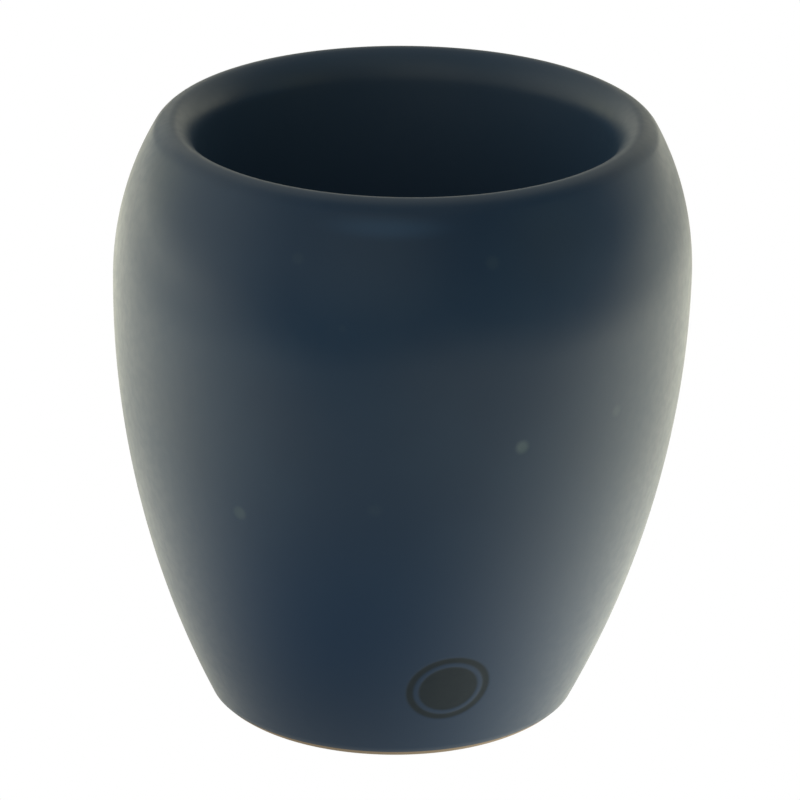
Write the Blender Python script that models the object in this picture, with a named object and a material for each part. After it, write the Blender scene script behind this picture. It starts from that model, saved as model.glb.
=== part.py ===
"""A short ceramic guitar slide, a barrel worn on one finger of the fretting hand.

Units are metres and +Z is up. The slide stands on its narrow end: the origin is the centre of
that end's flat ring, and +Z runs up the bore to the wide mouth, where the finger goes in.
It is one fired piece, so it is one object, turned from one closed outline of its wall.
"""

from math import cos, pi, radians, sin, tan

import bmesh
import bpy

MM = 0.001

# Driving dimensions
HEIGHT = 29.6 * MM
BELLY_RADIUS = 14.0 * MM
BORE_TAPER = 7.5  # degrees off the axis, narrowing towards the foot

# The outline is a chain of arcs that starts at the resting ring's outer edge. A heading is the
# outline's direction in degrees: 0 points outwards along the floor, 90 straight up,
# 180 inwards over the rim, 270 straight down the bore and 360 outwards again at the foot.
FOOT_CORNER_RADIUS = 0.7 * MM
BELLY_CURVE_RADIUS = 14.5 * MM
SHOULDER_RADIUS = 1.3 * MM
CREST_RADIUS = 0.5 * MM
FLARE_RADIUS = 1.9 * MM
LIP_RADIUS = 0.6 * MM

WALL_BOTTOM = 64.0
WALL_TOP = 90.0
BELLY_TOP = 119.0
SHOULDER_TOP = 164.0
CREST_TOP = 180.0
CREST_END = 211.0
BORE = 270.0 - BORE_TAPER
OUTWARDS = 360.0

# Fineness of the mesh: steps in the full turn, down the bore and along each arc of the outline
STEPS_AROUND = 72
BORE_STEPS = 5
FOOT_CORNER_STEPS = 4
LOWER_WALL_STEPS = 9
BELLY_CURVE_STEPS = 8
SHOULDER_STEPS = 4
OUTER_CREST_STEPS = 1
INNER_CREST_STEPS = 2
FLARE_STEPS = 4
LIP_STEPS = 4

GLAZE_COLOUR = (0.012, 0.042, 0.1, 1.0)
GLAZE_ROUGHNESS = 0.35
SHARP_ANGLE = 40.0


def clear_scene():
    for old in list(bpy.data.objects):
        bpy.data.objects.remove(old)


def rise(radius, start, end):
    """The height that an arc gains between two headings."""
    return radius * (cos(radians(start)) - cos(radians(end)))


def reach(radius, start, end):
    """The distance that an arc moves outwards between two headings."""
    return radius * (sin(radians(end)) - sin(radians(start)))


def lower_wall_radius():
    """The curvature radius of the long lower wall, which puts the rim's crest at HEIGHT."""
    other_arcs = (
        rise(FOOT_CORNER_RADIUS, 0.0, WALL_BOTTOM)
        + rise(BELLY_CURVE_RADIUS, WALL_TOP, BELLY_TOP)
        + rise(SHOULDER_RADIUS, BELLY_TOP, SHOULDER_TOP)
        + rise(CREST_RADIUS, SHOULDER_TOP, CREST_TOP)
    )
    return (HEIGHT - other_arcs) / rise(1.0, WALL_BOTTOM, WALL_TOP)


def resting_ring_radius(wall_radius):
    """The outer radius of the flat ring, which makes the belly BELLY_RADIUS where it is widest."""
    corner = reach(FOOT_CORNER_RADIUS, 0.0, WALL_BOTTOM)
    wall = reach(wall_radius, WALL_BOTTOM, WALL_TOP)
    return BELLY_RADIUS - corner - wall


def add_arc(outline, radius, start, end, steps):
    """Carries the outline on along an arc, from its last point."""
    r, z = outline[-1]
    for step in range(1, steps + 1):
        heading = start + (end - start) * step / steps
        outline.append((r + reach(radius, start, heading), z + rise(radius, start, heading)))


def add_bore(outline):
    """Carries the outline straight down the tapered bore, to where the tip's lip starts."""
    r, z = outline[-1]
    drop = z + rise(LIP_RADIUS, BORE, OUTWARDS)
    inwards = drop * tan(radians(BORE_TAPER))
    for step in range(1, BORE_STEPS + 1):
        part = step / BORE_STEPS
        outline.append((r - inwards * part, z - drop * part))


def wall_outline():
    """The wall's closed outline as points (radius, height), open only across the flat ring."""
    wall_radius = lower_wall_radius()
    outline = [(resting_ring_radius(wall_radius), 0.0)]
    add_arc(outline, FOOT_CORNER_RADIUS, 0.0, WALL_BOTTOM, FOOT_CORNER_STEPS)
    add_arc(outline, wall_radius, WALL_BOTTOM, WALL_TOP, LOWER_WALL_STEPS)
    add_arc(outline, BELLY_CURVE_RADIUS, WALL_TOP, BELLY_TOP, BELLY_CURVE_STEPS)
    add_arc(outline, SHOULDER_RADIUS, BELLY_TOP, SHOULDER_TOP, SHOULDER_STEPS)
    add_arc(outline, CREST_RADIUS, SHOULDER_TOP, CREST_TOP, OUTER_CREST_STEPS)
    add_arc(outline, CREST_RADIUS, CREST_TOP, CREST_END, INNER_CREST_STEPS)
    add_arc(outline, FLARE_RADIUS, CREST_END, BORE, FLARE_STEPS)
    add_bore(outline)
    add_arc(outline, LIP_RADIUS, BORE, OUTWARDS, LIP_STEPS)
    return outline


def turned_mesh(name, outline):
    """The solid that the closed outline sweeps in one full turn about the Z axis."""
    shape = bmesh.new()
    ring = [shape.verts.new((r, 0.0, z)) for r, z in outline]
    edges = [shape.edges.new((ring[i - 1], ring[i])) for i in range(len(ring))]
    bmesh.ops.spin(
        shape,
        geom=ring + edges,
        cent=(0.0, 0.0, 0.0),
        axis=(0.0, 0.0, 1.0),
        angle=2.0 * pi,
        steps=STEPS_AROUND,
        use_merge=True,
    )
    bmesh.ops.recalc_face_normals(shape, faces=shape.faces)
    mesh = bpy.data.meshes.new(name)
    shape.to_mesh(mesh)
    shape.free()
    mesh.shade_smooth()
    mesh.set_sharp_from_angle(angle=radians(SHARP_ANGLE))
    return mesh


def glaze():
    """Dark navy glaze with a satin gloss."""
    material = bpy.data.materials.new("navy_glaze")
    material.use_nodes = True
    shader = material.node_tree.nodes["Principled BSDF"]
    shader.inputs["Base Color"].default_value = GLAZE_COLOUR
    shader.inputs["Roughness"].default_value = GLAZE_ROUGHNESS
    shader.inputs["Metallic"].default_value = 0.0
    return material


def make_slide_body():
    mesh = turned_mesh("slide_body", wall_outline())
    mesh.materials.append(glaze())
    body = bpy.data.objects.new("slide_body", mesh)
    bpy.context.scene.collection.objects.link(body)
    return body


clear_scene()
make_slide_body()
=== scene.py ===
"""A short ceramic guitar slide in dark navy satin glaze, standing on its narrow end.

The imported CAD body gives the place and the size. The glazed piece below follows the same turned
outline with a finer surface, and adds what a hand-finished piece has: a slight lean, gentle waves
in the glaze, a bare foot ring, pinholes and a small stamped mark. Units are metres, +Z is up, and
the front faces -Y.
"""

from math import ceil, cos, pi, radians, sin, tan

import bmesh
import bpy
from mathutils import Matrix, Vector, noise


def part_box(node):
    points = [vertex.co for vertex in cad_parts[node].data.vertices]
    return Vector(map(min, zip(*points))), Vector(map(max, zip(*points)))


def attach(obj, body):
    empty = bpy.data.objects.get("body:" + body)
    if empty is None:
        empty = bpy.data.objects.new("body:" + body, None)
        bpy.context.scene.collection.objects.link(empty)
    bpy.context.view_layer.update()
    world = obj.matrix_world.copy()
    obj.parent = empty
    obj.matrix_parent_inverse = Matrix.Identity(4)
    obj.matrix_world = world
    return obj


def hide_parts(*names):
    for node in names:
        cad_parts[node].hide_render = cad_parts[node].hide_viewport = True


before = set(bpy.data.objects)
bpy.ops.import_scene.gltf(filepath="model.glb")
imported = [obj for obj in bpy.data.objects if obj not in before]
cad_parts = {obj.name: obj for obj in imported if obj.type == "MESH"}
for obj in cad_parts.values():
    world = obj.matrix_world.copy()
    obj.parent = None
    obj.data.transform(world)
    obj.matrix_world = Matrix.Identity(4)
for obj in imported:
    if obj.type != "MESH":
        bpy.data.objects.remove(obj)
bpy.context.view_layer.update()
LOW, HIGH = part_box("slide_body")

# The slide's height and widest radius, and one millimetre of it, because it is 29.6 mm tall
HEIGHT = HIGH.z - LOW.z
BELLY_RADIUS = (HIGH.x - LOW.x) / 2
MM = HEIGHT / 29.6

# The wall's outline is the CAD body's chain of arcs, from the resting ring's outer edge up the
# outside, over the rim and down the tapered bore. A heading is the outline's direction in
# degrees: 0 points outwards along the floor, 90 straight up, 180 inwards over the rim.
FOOT_CORNER_RADIUS = 0.7 * MM
BELLY_CURVE_RADIUS = 14.5 * MM
SHOULDER_RADIUS = 1.3 * MM
CREST_RADIUS = 0.5 * MM
FLARE_RADIUS = 1.9 * MM
LIP_RADIUS = 0.6 * MM
BORE_TAPER = 7.5
WALL_BOTTOM = 64.0
WALL_TOP = 90.0
BELLY_TOP = 119.0
SHOULDER_TOP = 164.0
CREST_TOP = 180.0
CREST_END = 211.0
BORE = 270.0 - BORE_TAPER
OUTWARDS = 360.0

# Fineness of the turned surface: quads around it, the longest step and the largest turn in degrees
# along its outline, and the cuts across each quad near a pinhole or the mark
STEPS_AROUND = 288
LONGEST_STEP = 0.3 * MM
LARGEST_TURN = 6.0
FINE_CUTS = 3
FINE_PINHOLE_RADII = 2.0
FINE_MARK_EDGES = 2.0

# Places on the outer wall are found to within this, on the outline's first half, which climbs from
# the floor and ends just past the crest
PLACE_TOLERANCE = 0.001 * MM

# The body leans a little to the right, 0.24 mm aside at either end, as a hand-finished one does
LEAN = 0.016

# The glaze lies unevenly by this much, in waves of this length, full from this height upwards
WAVE_HEIGHT = 0.012 * MM
WAVE_LENGTH = 7.0 * MM
WAVE_START = 2.0 * MM

# The glaze stops short of the floor. The bare clay below is set back by its thickness, but meets
# the floor unchanged and is set back in full only from the last of these heights
GLAZE_EDGE = 0.32 * MM
GLAZE_EDGE_WIDTH = 0.08 * MM
GLAZE_THICKNESS = 0.04 * MM
CLAY_SET_BACK = 0.1 * MM

# The stamped mark, a plain disc in a ring: its middle's degrees right of the front and height, the
# disc's radius, the ring's inner and outer radius, the width of their edges, and their depth
MARK_TURN = 14.3
MARK_HEIGHT = 4.4 * MM
MARK_DISC = 1.55 * MM
MARK_RING = 1.6 * MM
MARK_RADIUS = 2.15 * MM
MARK_EDGE = 0.2 * MM
MARK_DEPTH = 0.015 * MM

# Pinholes in the glaze: degrees right of the front, height and radius in millimetres, and how deep
# and pale each is, from 0 to 1
PINHOLES = (
    (24.5, 17.8, 0.46, 1.0),
    (-34.0, 13.7, 0.48, 0.55),
    (18.0, 26.9, 0.46, 0.2),
    (-11.5, 24.0, 0.26, 0.12),
    (-22.0, 26.9, 0.4, 0.16),
    (-4.6, 14.9, 0.46, 0.13),
    (47.4, 18.4, 0.4, 0.3),
    (96.0, 11.5, 0.4, 0.55),
    (128.0, 22.4, 0.34, 0.3),
    (171.0, 15.2, 0.44, 0.7),
    (-151.0, 8.6, 0.3, 0.3),
    (-118.0, 19.5, 0.38, 0.45),
    (-76.0, 24.6, 0.3, 0.2),
)

# The deepest pinhole's depth, and the shares of a pinhole's radius within which it has its full
# depth and its full colour
PINHOLE_DEPTH = 0.015 * MM
PINHOLE_BOTTOM = 0.2
PINHOLE_CORE = 0.3

# Streaks of thinner glaze on the shoulder: degrees right of the front, then the height and half
# the streak's length and breadth in millimetres. Each is full within this share of its size.
THIN_STREAKS = (
    (-3.7, 28.5, 3.8, 0.65),
    (107.0, 28.4, 3.2, 0.6),
    (-139.0, 28.5, 4.0, 0.65),
)
STREAK_CORE = 0.1

# Camera: its angles are in degrees, its lens and sensor in millimetres
CAMERA_PLACE = Vector((0.0, -0.250, 0.11445))
CAMERA_PITCH = 21.67
CAMERA_YAW = -0.012
CAMERA_ROLL = 0.53
CAMERA_LENS = 247.7
CAMERA_SENSOR = 36.0
CAMERA_NEAREST = 0.01
CAMERA_FARTHEST = 10.0

# Floor, just below the slide's foot
FLOOR_RADIUS = 1.6
FLOOR_SIDES = 96
FLOOR_DROP = 0.02 * MM


# ---------------------------------------------------------------- outline

class Outline:
    """The wall's closed outline: arcs and straight runs, read at any length along it."""

    def __init__(self, radius, height):
        self.runs = []
        self.length = 0.0
        self.end = (radius, height)

    def add(self, length, steps, place):
        """Adds a run. Its place function gives the radius, height and heading from 0 to 1."""
        self.runs.append((self.length, length, steps, place))
        self.length += length
        self.end = place(1.0)[:2]

    def arc(self, radius, start, end):
        """Adds an arc between two headings."""
        r, z = self.end

        def place(part):
            heading = start + (end - start) * part
            return r + reach(radius, start, heading), z + rise(radius, start, heading), heading

        length = radius * radians(end - start)
        steps = max(ceil((end - start) / LARGEST_TURN), ceil(length / LONGEST_STEP))
        self.add(length, steps, place)

    def line(self, heading, length):
        """Adds a straight run."""
        r, z = self.end
        out, up = cos(radians(heading)), sin(radians(heading))

        def place(part):
            return r + out * length * part, z + up * length * part, heading

        self.add(length, ceil(length / LONGEST_STEP), place)

    def at(self, distance):
        """The radius, height and heading at a distance along the outline."""
        for start, length, _, place in self.runs:
            if distance <= start + length:
                break
        return place(min((distance - start) / length, 1.0))

    def rows(self):
        """The distances along the outline at which the surface has a row of points."""
        found = []
        for start, length, steps, _ in self.runs:
            found += [start + length * step / steps for step in range(steps)]
        return found


def rise(radius, start, end):
    """The height that an arc gains between two headings."""
    return radius * (cos(radians(start)) - cos(radians(end)))


def reach(radius, start, end):
    """The distance that an arc moves outwards between two headings."""
    return radius * (sin(radians(end)) - sin(radians(start)))


def wall_outline():
    """The CAD body's outline, and the radius its bore would have at the floor without the lip.

    The lower wall's arc takes the height that the other arcs leave.
    """
    other_arcs = (
        rise(FOOT_CORNER_RADIUS, 0.0, WALL_BOTTOM)
        + rise(BELLY_CURVE_RADIUS, WALL_TOP, BELLY_TOP)
        + rise(SHOULDER_RADIUS, BELLY_TOP, SHOULDER_TOP)
        + rise(CREST_RADIUS, SHOULDER_TOP, CREST_TOP)
    )
    wall_radius = (HEIGHT - other_arcs) / rise(1.0, WALL_BOTTOM, WALL_TOP)
    corner = reach(FOOT_CORNER_RADIUS, 0.0, WALL_BOTTOM)
    wall = reach(wall_radius, WALL_BOTTOM, WALL_TOP)
    ring_radius = BELLY_RADIUS - corner - wall

    outline = Outline(ring_radius, 0.0)
    outline.arc(FOOT_CORNER_RADIUS, 0.0, WALL_BOTTOM)
    outline.arc(wall_radius, WALL_BOTTOM, WALL_TOP)
    outline.arc(BELLY_CURVE_RADIUS, WALL_TOP, BELLY_TOP)
    outline.arc(SHOULDER_RADIUS, BELLY_TOP, SHOULDER_TOP)
    outline.arc(CREST_RADIUS, SHOULDER_TOP, CREST_TOP)
    outline.arc(CREST_RADIUS, CREST_TOP, CREST_END)
    outline.arc(FLARE_RADIUS, CREST_END, BORE)
    bore_radius, bore_top = outline.end
    drop = bore_top + rise(LIP_RADIUS, BORE, OUTWARDS)
    outline.line(BORE, drop / cos(radians(BORE_TAPER)))
    outline.arc(LIP_RADIUS, BORE, OUTWARDS)
    outline.line(0.0, ring_radius - outline.end[0])
    return outline, bore_radius - bore_top * tan(radians(BORE_TAPER))


# ---------------------------------------------------------------- surface

def smooth(value, start, end):
    """0 before start, 1 after end, and a smooth step between them."""
    part = min(max((value - start) / (end - start), 0.0), 1.0)
    return part * part * (3.0 - 2.0 * part)


def on_wall(outline, turn, height):
    """The point of the outer wall at a height, turn degrees right of the front."""
    low, high = 0.0, outline.length / 2
    while high - low > PLACE_TOLERANCE:
        middle = (low + high) / 2
        if outline.at(middle)[1] < height:
            low = middle
        else:
            high = middle
    r = outline.at(low)[0]
    return Vector((r * sin(radians(turn)), -r * cos(radians(turn)), height))


def mark_shape(distance):
    """1 in the mark's disc and ring, and 0 off them."""
    disc = 1.0 - smooth(distance, MARK_DISC - MARK_EDGE, MARK_DISC)
    ring = smooth(distance, MARK_RING, MARK_RING + MARK_EDGE)
    return disc + ring * (1.0 - smooth(distance, MARK_RADIUS - MARK_EDGE, MARK_RADIUS))


def relief(point, pinholes, mark):
    """How far the glaze stands off the turned outline at a point."""
    height = WAVE_HEIGHT * noise.noise(point / WAVE_LENGTH)
    height *= smooth(point.z, 0.0, WAVE_START)
    bare = 1.0 - smooth(point.z, GLAZE_EDGE, GLAZE_EDGE + GLAZE_EDGE_WIDTH)
    height -= GLAZE_THICKNESS * bare * smooth(point.z, 0.0, CLAY_SET_BACK)
    for place, radius, share in pinholes:
        away = (point - place).length
        depth = PINHOLE_DEPTH * share
        height -= depth * (1.0 - smooth(away, PINHOLE_BOTTOM * radius, radius))
    return height - MARK_DEPTH * mark_shape((point - mark).length)


def make_body(outline, pinholes, mark):
    """The turned, closed and leaning surface, finest around the pinholes and the mark."""
    shape = bmesh.new()
    turns = shape.verts.layers.float.new("turn")
    lengths = shape.verts.layers.float.new("length")
    rows = outline.rows()
    grid = []
    for length in rows:
        r, z, _ = outline.at(length)
        ring = []
        for step in range(STEPS_AROUND):
            turn = 2.0 * pi * step / STEPS_AROUND
            vert = shape.verts.new((r * sin(turn), r * cos(turn), z))
            vert[turns] = turn
            vert[lengths] = length
            ring.append(vert)
        grid.append(ring)
    for row in range(len(rows)):
        this, above = grid[row], grid[(row + 1) % len(rows)]
        for step in range(STEPS_AROUND):
            after = (step + 1) % STEPS_AROUND
            shape.faces.new((this[step], above[step], above[after], this[after]))

    spots = [(place, FINE_PINHOLE_RADII * radius) for place, radius, _ in pinholes]
    spots.append((mark, MARK_RADIUS + FINE_MARK_EDGES * MARK_EDGE))
    fine = set()
    for face in shape.faces:
        middle = face.calc_center_median()
        if any((middle - place).length < radius + LONGEST_STEP for place, radius in spots):
            fine.update(face.edges)
    bmesh.ops.subdivide_edges(shape, edges=list(fine), cuts=FINE_CUTS, use_grid_fill=True)

    for vert in shape.verts:
        r, z, heading = outline.at(vert[lengths])
        turn = vert[turns]
        out = Vector((sin(turn), cos(turn), 0.0))
        normal = out * sin(radians(heading)) - Vector((0.0, 0.0, cos(radians(heading))))
        point = out * r + Vector((0.0, 0.0, z))
        vert.co = point + normal * relief(point, pinholes, mark)
        vert.co.x += LEAN * (vert.co.z - HEIGHT / 2)

    bmesh.ops.recalc_face_normals(shape, faces=shape.faces)
    mesh = bpy.data.meshes.new("glazed_body")
    shape.to_mesh(mesh)
    shape.free()
    mesh.shade_smooth()
    for name in ("turn", "length"):
        mesh.attributes.remove(mesh.attributes[name])
    body = bpy.data.objects.new("glazed_body", mesh)
    bpy.context.scene.collection.objects.link(body)
    return body


# ---------------------------------------------------------------- node helpers

CLOUD_DETAIL = 2.0
CLOUD_ROUGHNESS = 0.55


def add(tree, kind, inputs=None, **settings):
    """A new shader node. Each input is set to a value, or linked if it is a socket."""
    made = tree.nodes.new(kind)
    for name, value in settings.items():
        setattr(made, name, value)
    for name, value in (inputs or {}).items():
        if isinstance(value, bpy.types.NodeSocket):
            tree.links.new(value, made.inputs[name])
        else:
            made.inputs[name].default_value = value
    return made


def maths(tree, operation, *values):
    """The result of a Math node on the values or sockets."""
    return add(tree, "ShaderNodeMath", dict(enumerate(values)), operation=operation).outputs[0]


def fade(tree, value, start, end, low=0.0, high=1.0):
    """Goes smoothly from low to high as value goes from start to end."""
    inputs = {"Value": value, "From Min": start, "From Max": end, "To Min": low, "To Max": high}
    made = add(tree, "ShaderNodeMapRange", inputs, interpolation_type="SMOOTHSTEP")
    return made.outputs["Result"]


def blend(tree, part, first, second):
    """A colour between two."""
    made = add(tree, "ShaderNodeMix", data_type="RGBA")
    for socket, value in (("Factor_Float", part), ("A_Color", first), ("B_Color", second)):
        target = next(s for s in made.inputs if s.identifier == socket)
        if isinstance(value, bpy.types.NodeSocket):
            tree.links.new(value, target)
        else:
            target.default_value = value
    return next(s for s in made.outputs if s.identifier == "Result_Color")


def distance_to(tree, position, place):
    """The distance from a position socket to a fixed place."""
    made = add(tree, "ShaderNodeVectorMath", {0: position, 1: place}, operation="DISTANCE")
    return made.outputs["Value"]


def clouds(tree, position, size):
    """Noise from 0 to 1, with lumps of about the given size in metres."""
    inputs = {
        "Vector": position,
        "Scale": 1.0 / size,
        "Detail": CLOUD_DETAIL,
        "Roughness": CLOUD_ROUGHNESS,
    }
    return add(tree, "ShaderNodeTexNoise", inputs).outputs["Fac"]


# ---------------------------------------------------------------- glaze

# Base colours: the pooled, the thinner and the low glaze, the thin streaks, and the rest
GLAZE_DEEP = (0.0102, 0.0400, 0.1050, 1.0)
GLAZE_PALE = (0.0131, 0.0460, 0.1145, 1.0)
GLAZE_LOW = (0.0092, 0.0425, 0.1220, 1.0)
GLAZE_THIN = (0.0195, 0.0660, 0.1620, 1.0)
PINHOLE_COLOUR = (0.062, 0.110, 0.163, 1.0)
MARK_COLOUR = (0.006, 0.020, 0.042, 1.0)
# The bore's colour is painted light: a lighter tone that stands in for the light reaching down
# inside the bore.
BORE_PAINTED_LIGHT = (0.0350, 0.0700, 0.1360, 1.0)
CLAY_COLOUR = (0.40, 0.31, 0.25, 1.0)
GLAZE_IOR = 1.45

# Roughness of the glaze, how far pooling and grain move it up and down, and what the bare clay and
# the mark add to it
GLAZE_ROUGHNESS = 0.35
POOLING_ROUGHNESS = 0.02
GRAIN_ROUGHNESS = 0.02
CLAY_ROUGHNESS = 0.5
MARK_ROUGHNESS = 0.25

# Sizes of the pooling's and the grain's lumps, and the stretches of their noise that are used
POOLING_SIZE = 6.0 * MM
POOLING_COLOUR_RANGE = (0.3, 0.7)
POOLING_ROUGHNESS_RANGE = (0.2, 0.8)
GRAIN_SIZE = 0.5 * MM
GRAIN_RANGE = (0.3, 0.7)
GRAIN_HEIGHT = 0.01 * MM
GRAIN_STRENGTH = 0.25

# The heights between which the low glaze's colour comes in
LOW_GLAZE = (18.0 * MM, 6.0 * MM)

# The distances from the bore's wall at which the bore's painted light is full and gone
BORE_PAINTED_LIGHT_FADE = (0.1 * MM, 1.0 * MM)

# What a position is multiplied by to leave out its height
LEVEL = (1.0, 1.0, 0.0)


def glaze_material(bore_foot, pinholes, streaks, mark):
    """Dark satin glaze over pale clay, thinner in the streaks and the pinholes, with painted light
    that lightens the bore.
    """
    material = bpy.data.materials.new("satin_glaze")
    material.use_nodes = True
    tree = material.node_tree
    shader = tree.nodes["Principled BSDF"]
    leant = add(tree, "ShaderNodeTexCoord").outputs["Object"]
    x, y, height = add(tree, "ShaderNodeSeparateXYZ", {0: leant}).outputs
    leaning = maths(tree, "MULTIPLY", maths(tree, "SUBTRACT", height, HEIGHT / 2), LEAN)
    upright_x = maths(tree, "SUBTRACT", x, leaning)
    position = add(tree, "ShaderNodeCombineXYZ", {0: upright_x, 1: y, 2: height}).outputs[0]

    pooling = clouds(tree, position, POOLING_SIZE)
    grain = clouds(tree, position, GRAIN_SIZE)
    colour = blend(tree, fade(tree, pooling, *POOLING_COLOUR_RANGE), GLAZE_DEEP, GLAZE_PALE)
    colour = blend(tree, fade(tree, height, *LOW_GLAZE), colour, GLAZE_LOW)

    across = add(tree, "ShaderNodeVectorMath", {0: position, 1: LEVEL}, operation="MULTIPLY")
    from_axis = add(tree, "ShaderNodeVectorMath", {0: across.outputs[0]}, operation="LENGTH")
    bore_wall = maths(tree, "MULTIPLY_ADD", height, tan(radians(BORE_TAPER)), bore_foot)
    off_bore = maths(tree, "SUBTRACT", from_axis.outputs["Value"], bore_wall)
    # The mask of the bore's painted light, full at the bore's wall and gone a millimetre away from
    # it
    inside = fade(tree, off_bore, *BORE_PAINTED_LIGHT_FADE, 1.0, 0.0)
    colour = blend(tree, inside, colour, BORE_PAINTED_LIGHT)

    for place, half_size in streaks:
        scale = Vector(1.0 / half for half in half_size)
        squeezed = add(tree, "ShaderNodeVectorMath", {0: position, 1: scale}, operation="MULTIPLY")
        away = distance_to(tree, squeezed.outputs[0], place * scale)
        colour = blend(tree, fade(tree, away, STREAK_CORE, 1.0, 1.0, 0.0), colour, GLAZE_THIN)

    for place, radius, share in pinholes:
        away = distance_to(tree, position, place)
        spot = fade(tree, away, PINHOLE_CORE * radius, radius, share, 0.0)
        colour = blend(tree, spot, colour, PINHOLE_COLOUR)

    away = distance_to(tree, position, mark)
    disc = fade(tree, away, MARK_DISC - MARK_EDGE, MARK_DISC, 1.0, 0.0)
    inner = fade(tree, away, MARK_RING, MARK_RING + MARK_EDGE)
    outer = fade(tree, away, MARK_RADIUS - MARK_EDGE, MARK_RADIUS, 1.0, 0.0)
    stamped = maths(tree, "ADD", disc, maths(tree, "MULTIPLY", inner, outer))
    colour = blend(tree, stamped, colour, MARK_COLOUR)

    bare = fade(tree, height, GLAZE_EDGE, GLAZE_EDGE + GLAZE_EDGE_WIDTH, 1.0, 0.0)
    colour = blend(tree, bare, colour, CLAY_COLOUR)
    tree.links.new(colour, shader.inputs["Base Color"])

    smoothest = GLAZE_ROUGHNESS - POOLING_ROUGHNESS
    roughest = GLAZE_ROUGHNESS + POOLING_ROUGHNESS
    rough = fade(tree, pooling, *POOLING_ROUGHNESS_RANGE, smoothest, roughest)
    uneven = fade(tree, grain, *GRAIN_RANGE, -GRAIN_ROUGHNESS, GRAIN_ROUGHNESS)
    rough = maths(tree, "ADD", rough, uneven)
    rough = maths(tree, "ADD", rough, maths(tree, "MULTIPLY", bare, CLAY_ROUGHNESS))
    rough = maths(tree, "ADD", rough, maths(tree, "MULTIPLY", stamped, MARK_ROUGHNESS))
    tree.links.new(rough, shader.inputs["Roughness"])
    shader.inputs["IOR"].default_value = GLAZE_IOR

    bump_inputs = {"Strength": GRAIN_STRENGTH, "Distance": GRAIN_HEIGHT, "Height": grain}
    bump = add(tree, "ShaderNodeBump", bump_inputs)
    tree.links.new(bump.outputs["Normal"], shader.inputs["Normal"])
    return material


# ---------------------------------------------------------------- surroundings

# The studio's soft light. Each glow has its degrees right of the front and its elevation, the
# half-widths in degrees inside which it is full and outside which it is gone, and its strength.
# The ambient light comes evenly from all round.
GLOWS = (
    (-108.0, 5.0, 10.0, 70.0, 0.71),
    (-166.0, 16.0, 4.0, 24.0, 0.5),
    (-18.0, 21.0, 6.0, 40.0, 0.32),
    (120.0, 3.0, 5.0, 28.0, 0.24),
    (142.0, 13.0, 6.0, 41.0, 0.51),
    (0.0, 65.0, 8.0, 35.0, 0.15),
    (180.0, 60.0, 10.0, 38.0, 0.45),
    (165.0, 12.0, 4.0, 22.0, 0.25),
)
WARM_GLOWS = (
    (66.0, 14.0, 4.0, 26.0, 0.2),
    (-126.0, 4.0, 3.0, 20.0, 0.25),
)
AMBIENT = 0.17

# Light pools on the floor: degrees right of the front, then the distance from the slide's axis and
# the radii inside which the pool is full and outside which it is gone, in millimetres, and strength
POOLS = (
    (87.0, 16.0, 5.0, 26.0, 0.74),
    (-114.0, 18.0, 5.0, 25.0, 0.53),
    (115.0, 68.0, 17.0, 86.0, 1.9),
    (-68.0, 68.0, 13.0, 66.0, 0.94),
    (-131.0, 72.0, 17.0, 84.0, 1.46),
    (34.0, 89.0, 24.0, 119.0, 0.79),
    (180.0, 200.0, 40.0, 200.0, 0.87),
    (123.0, 458.0, 86.0, 432.0, 2.48),
    (-109.0, 461.0, 93.0, 466.0, 3.6),
)

# Where the slide shades the floor in front of its foot: as a pool, but with the share taken away
SHADE = (-12.0, 13.0, 4.0, 21.0, 0.22)

# Under the slide, between these radii in millimetres from the resting ring's outside to its inside,
# the floor falls into shade: to this share of its light, and to this share of the white that the
# camera sees, which grows by the last share towards the middle
COVERED = (8.4, 7.1)
COVERED_LIGHT = 0.1
COVERED_WHITE = 0.2
MIDDLE_WHITE = 0.3

# What the camera sees, and the colours of the plain and the warm light
WHITE = (1.0, 1.0, 1.0, 1.0)
LIGHT_COLOUR = (1.02, 1.0, 0.8, 1.0)
WARM_COLOUR = (1.0, 0.92, 0.3, 1.0)


def direction(heading, elevation):
    """A unit vector towards a heading, in degrees right of the front, and an elevation."""
    flat = cos(radians(elevation))
    turn = radians(heading)
    return Vector((flat * sin(turn), -flat * cos(turn), sin(radians(elevation))))


def seen_or_lit(tree, lit, seen):
    """The camera gets one shader, and every other ray the other."""
    path = add(tree, "ShaderNodeLightPath").outputs["Is Camera Ray"]
    made = add(tree, "ShaderNodeMixShader", {0: path, 1: lit, 2: seen})
    return made.outputs[0]


def glow_sum(tree, ray, glows, total):
    """The strength of all the glows together in a ray's direction."""
    for heading, elevation, full, faded, strength in glows:
        towards = direction(heading, elevation)
        facing = add(tree, "ShaderNodeVectorMath", {0: ray, 1: towards}, operation="DOT_PRODUCT")
        edges = cos(radians(faded)), cos(radians(full))
        glow = fade(tree, facing.outputs["Value"], *edges, 0.0, strength)
        total = maths(tree, "ADD", glow, total)
    return total


def make_world():
    """Soft glows for the light, and plain white for the camera."""
    world = bpy.data.worlds.new("soft_studio")
    world.use_nodes = True
    tree = world.node_tree
    tree.nodes.clear()
    ray = add(tree, "ShaderNodeTexCoord").outputs["Generated"]
    plain = glow_sum(tree, ray, GLOWS, AMBIENT)
    plain = add(tree, "ShaderNodeBackground", {"Color": LIGHT_COLOUR, "Strength": plain})
    warm = glow_sum(tree, ray, WARM_GLOWS, 0.0)
    warm = add(tree, "ShaderNodeBackground", {"Color": WARM_COLOUR, "Strength": warm})
    lit = add(tree, "ShaderNodeAddShader", {0: plain.outputs[0], 1: warm.outputs[0]})
    seen = add(tree, "ShaderNodeBackground", {"Color": WHITE, "Strength": 1.0})
    output = add(tree, "ShaderNodeOutputWorld")
    mixed = seen_or_lit(tree, lit.outputs[0], seen.outputs[0])
    tree.links.new(mixed, output.inputs["Surface"])
    bpy.context.scene.world = world


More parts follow.
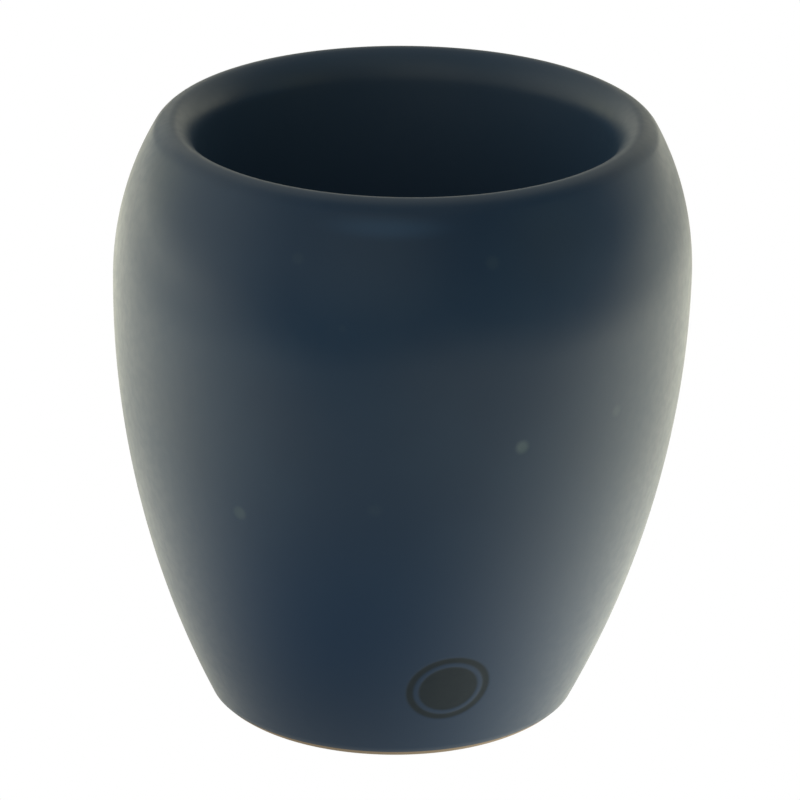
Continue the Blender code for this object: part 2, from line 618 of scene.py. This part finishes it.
def make_floor():
    """A pale floor lit in soft pools, which the camera sees as plain white, with painted shade
    under the slide.
    """
    shape = bmesh.new()
    bmesh.ops.create_circle(shape, cap_ends=True, segments=FLOOR_SIDES, radius=FLOOR_RADIUS)
    mesh = bpy.data.meshes.new("floor")
    shape.to_mesh(mesh)
    shape.free()
    floor = bpy.data.objects.new("floor", mesh)
    floor.location.z = LOW.z - FLOOR_DROP
    bpy.context.scene.collection.objects.link(floor)

    material = bpy.data.materials.new("pale_floor")
    material.use_nodes = True
    tree = material.node_tree
    tree.nodes.clear()
    position = add(tree, "ShaderNodeTexCoord").outputs["Object"]
    total = 0.0
    for heading, away, full, faded, strength in POOLS:
        centre = direction(heading, 0.0) * away * MM
        near = distance_to(tree, position, centre)
        pool = fade(tree, near, full * MM, faded * MM, strength, 0.0)
        total = maths(tree, "ADD", pool, total)
    heading, away, full, faded, share = SHADE
    near = distance_to(tree, position, direction(heading, 0.0) * away * MM)
    kept = fade(tree, near, full * MM, faded * MM, 1.0 - share, 1.0)
    total = maths(tree, "MULTIPLY", kept, total)
    from_axis = distance_to(tree, position, Vector())
    outside, inside = COVERED
    covered = fade(tree, from_axis, outside * MM, inside * MM, 1.0, COVERED_LIGHT)
    total = maths(tree, "MULTIPLY", total, covered)
    # Painted shade: the white that the camera sees is darkened under the slide, less so towards the
    # middle
    seen_white_with_shade = fade(tree, from_axis, outside * MM, inside * MM, 1.0, COVERED_WHITE)
    seen_white_with_shade = maths(tree, "ADD", seen_white_with_shade, fade(tree, from_axis, inside * MM, 0.0, 0.0, MIDDLE_WHITE))
    lit = add(tree, "ShaderNodeEmission", {"Color": LIGHT_COLOUR, "Strength": total})
    seen = add(tree, "ShaderNodeEmission", {"Color": WHITE, "Strength": seen_white_with_shade})
    output = add(tree, "ShaderNodeOutputMaterial")
    mixed = seen_or_lit(tree, lit.outputs[0], seen.outputs[0])
    tree.links.new(mixed, output.inputs["Surface"])
    mesh.materials.append(material)


def make_camera():
    """The camera at the photograph's viewing angle."""
    data = bpy.data.cameras.new("camera")
    data.lens = CAMERA_LENS
    data.sensor_width = CAMERA_SENSOR
    data.clip_start = CAMERA_NEAREST
    data.clip_end = CAMERA_FARTHEST
    camera = bpy.data.objects.new("camera", data)
    yaw = Matrix.Rotation(radians(CAMERA_YAW), 4, "Z")
    pitch = Matrix.Rotation(radians(90.0 - CAMERA_PITCH), 4, "X")
    roll = Matrix.Rotation(radians(CAMERA_ROLL), 4, "Z")
    camera.matrix_world = Matrix.Translation(CAMERA_PLACE) @ yaw @ pitch @ roll
    bpy.context.scene.collection.objects.link(camera)
    bpy.context.scene.camera = camera


make_camera()
make_world()
make_floor()
bpy.context.scene.view_settings.view_transform = "Standard"

OUTLINE, BORE_FOOT = wall_outline()
MARK = on_wall(OUTLINE, MARK_TURN, MARK_HEIGHT)
SPOTS = [
    (on_wall(OUTLINE, turn, height * MM), radius * MM, share)
    for turn, height, radius, share in PINHOLES
]
STREAKS = [
    (on_wall(OUTLINE, turn, height * MM), (length * MM, length * MM, breadth * MM))
    for turn, height, length, breadth in THIN_STREAKS
]

slide = make_body(OUTLINE, SPOTS, MARK)
slide.data.materials.append(glaze_material(BORE_FOOT, SPOTS, STREAKS, MARK))
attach(slide, "root")
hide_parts("slide_body")
